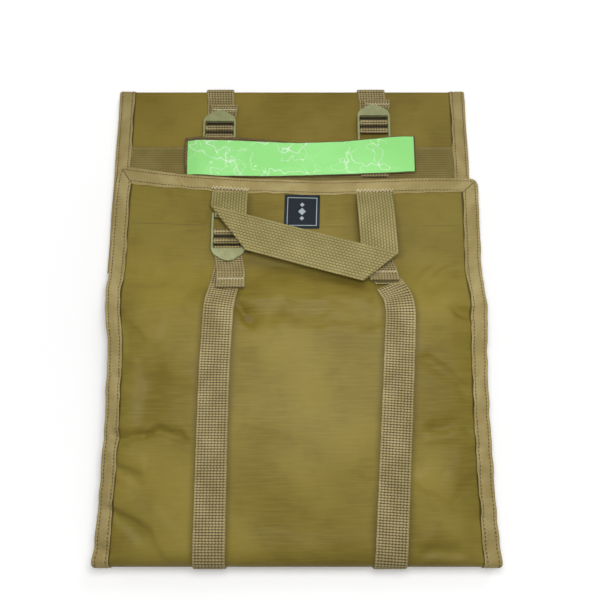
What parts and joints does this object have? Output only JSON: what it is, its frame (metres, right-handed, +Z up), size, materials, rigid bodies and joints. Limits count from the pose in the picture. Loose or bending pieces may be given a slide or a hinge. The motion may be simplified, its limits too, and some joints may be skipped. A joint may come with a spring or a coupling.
{
  "type": "folding stretcher",
  "caption": "Soft fabric stretcher folded flat, with load straps through ladder locks, sewn carrying handles, edge binding and a peel-up marker strip.",
  "frame": {"origin": "centre of the folded bed's footprint, on the floor under the two lower straps", "axes": "+X across the bed to the right, +Y along the bed towards the top fold, +Z up, away from the floor"},
  "size_m": [0.482, 0.6266, 0.044],
  "materials": {
    "sheet_nylon": "coated plain-weave nylon, satin, khaki brown",
    "binding_tape": "ribbed binding tape, matt, lighter khaki",
    "strap_webbing": "ribbed nylon webbing, matt",
    "wide_webbing": "ribbed nylon webbing, matt",
    "lock_plastic": "moulded nylon, satin, grey green",
    "pad_cover": "coated nylon over foam",
    "hook_backing": "hook tape, brown",
    "marker_film": "glossy film, pale green",
    "label_weave": "fine woven label, near black"
  },
  "bodies": {
    "back_panel": {"back_panel": "sheet_nylon", "top_fold": "sheet_nylon", "torso_pad": "pad_cover", "back_binding_left": "binding_tape", "back_binding_right": "binding_tape", "back_strap_left": "strap_webbing", "back_strap_right": "strap_webbing"},
    "bottom_gusset": {"bottom_gusset": "sheet_nylon", "gusset_binding_left": "binding_tape", "gusset_binding_right": "binding_tape", "gusset_strap_left": "strap_webbing", "gusset_strap_right": "strap_webbing"},
    "front_flap": {"front_flap": "sheet_nylon", "front_binding_left": "binding_tape", "front_binding_right": "binding_tape", "front_binding_end": "binding_tape", "front_facing": "sheet_nylon", "label": "label_weave", "front_strap_left": "strap_webbing", "front_strap_right": "strap_webbing", "front_anchor_left": "strap_webbing", "front_anchor_right": "strap_webbing"},
    "top_flap": {"top_flap": "sheet_nylon", "top_binding_left": "binding_tape", "top_binding_right": "binding_tape", "top_binding_end": "binding_tape", "cross_band": "wide_webbing", "top_strap_left": "strap_webbing", "top_strap_right": "strap_webbing", "rear_anchor_left": "strap_webbing", "rear_anchor_right": "strap_webbing"},
    "carry_handle": {"carry_handle": "wide_webbing"},
    "front_lock_left": {"front_lock_left": "lock_plastic", "front_bite_left": "strap_webbing"},
    "front_lock_right": {"front_lock_right": "lock_plastic", "front_bite_right": "strap_webbing"},
    "front_tail_left": {"front_tail_left": "strap_webbing"},
    "front_tail_right": {"front_tail_right": "strap_webbing"},
    "rear_lock_left": {"rear_lock_left": "lock_plastic", "rear_bite_left": "strap_webbing"},
    "rear_lock_right": {"rear_lock_right": "lock_plastic", "rear_bite_right": "strap_webbing"},
    "rear_tail_left": {"rear_tail_left": "strap_webbing"},
    "rear_tail_right": {"rear_tail_right": "strap_webbing"},
    "marker": {"marker_backing": "hook_backing", "marker_film": "marker_film"},
    "rear_handle": {"rear_handle": "wide_webbing"}
  },
  "joints": [
    {"name": "unfold", "type": "hinge", "parent": "back_panel", "child": "bottom_gusset", "pos_m": [0, -0.306, 0.0073], "axis": [1, 0, 0], "range_deg": [0, 89]},
    {"name": "front_flap_fold", "type": "hinge", "parent": "bottom_gusset", "child": "front_flap", "pos_m": [0, -0.306, 0.03], "axis": [1, 0, 0], "range_deg": [0, 89]},
    {"name": "top_flap_fold", "type": "hinge", "parent": "back_panel", "child": "top_flap", "pos_m": [0, 0.307, 0.0063], "axis": [-1, 0, 0], "range_deg": [0, 170]},
    {"name": "rear_handle_swing", "type": "hinge", "parent": "top_flap", "child": "rear_handle", "pos_m": [0, 0.05, 0.0126], "axis": [1, 0, 0], "range_deg": [0, 170]},
    {"name": "handle_swing", "type": "hinge", "parent": "front_flap", "child": "carry_handle", "pos_m": [0, 0.1505, 0.0206], "axis": [-1, 0, 0], "range_deg": [0, 95]},
    {"name": "front_lock_left_tilt", "type": "hinge", "parent": "front_flap", "child": "front_lock_left", "pos_m": [-0.085, 0.119, 0.0259], "axis": [-1, 0, 0], "range_deg": [0, 28.5]},
    {"name": "front_lock_right_tilt", "type": "hinge", "parent": "front_flap", "child": "front_lock_right", "pos_m": [0.1085, 0.119, 0.0259], "axis": [-1, 0, 0], "range_deg": [0, 28.5]},
    {"name": "front_tail_left_pull", "type": "slide", "parent": "front_lock_left", "child": "front_tail_left", "axis": [0, -0.9272, 0.3745], "range_m": [0, 0.03]},
    {"name": "front_tail_right_pull", "type": "slide", "parent": "front_lock_right", "child": "front_tail_right", "axis": [0, -0.9272, 0.3745], "range_m": [0, 0.03]},
    {"name": "marker_peel", "type": "hinge", "parent": "top_flap", "child": "marker", "pos_m": [-0.144, 0.202, 0.02195], "axis": [0, -1, 0], "range_deg": [0, 35]},
    {"name": "rear_lock_left_tilt", "type": "hinge", "parent": "top_flap", "child": "rear_lock_left", "pos_m": [-0.102, 0.212, 0.0177], "axis": [1, 0, 0], "range_deg": [0, 17.5]},
    {"name": "rear_lock_right_tilt", "type": "hinge", "parent": "top_flap", "child": "rear_lock_right", "pos_m": [0.109, 0.2205, 0.0177], "axis": [1, 0, 0], "range_deg": [0, 17.5]},
    {"name": "rear_tail_left_pull", "type": "slide", "parent": "rear_lock_left", "child": "rear_tail_left", "axis": [0, 1, 0], "range_m": [0, 0.025]},
    {"name": "rear_tail_right_pull", "type": "slide", "parent": "rear_lock_right", "child": "rear_tail_right", "axis": [0, 1, 0], "range_m": [0, 0.025]}
  ],
  "couplings": [
    {"joint": "front_flap_fold", "follows": "unfold", "ratio": 1},
    {"joint": "top_flap_fold", "follows": "unfold", "ratio": 1.9101},
    {"joint": "rear_handle_swing", "follows": "unfold", "ratio": 1.9101},
    {"joint": "front_lock_left_tilt", "follows": "handle_swing", "ratio": 0.3},
    {"joint": "front_lock_right_tilt", "follows": "handle_swing", "ratio": 0.3},
    {"joint": "rear_lock_left_tilt", "follows": "marker_peel", "ratio": 0.5},
    {"joint": "rear_lock_right_tilt", "follows": "marker_peel", "ratio": 0.5}
  ]
}
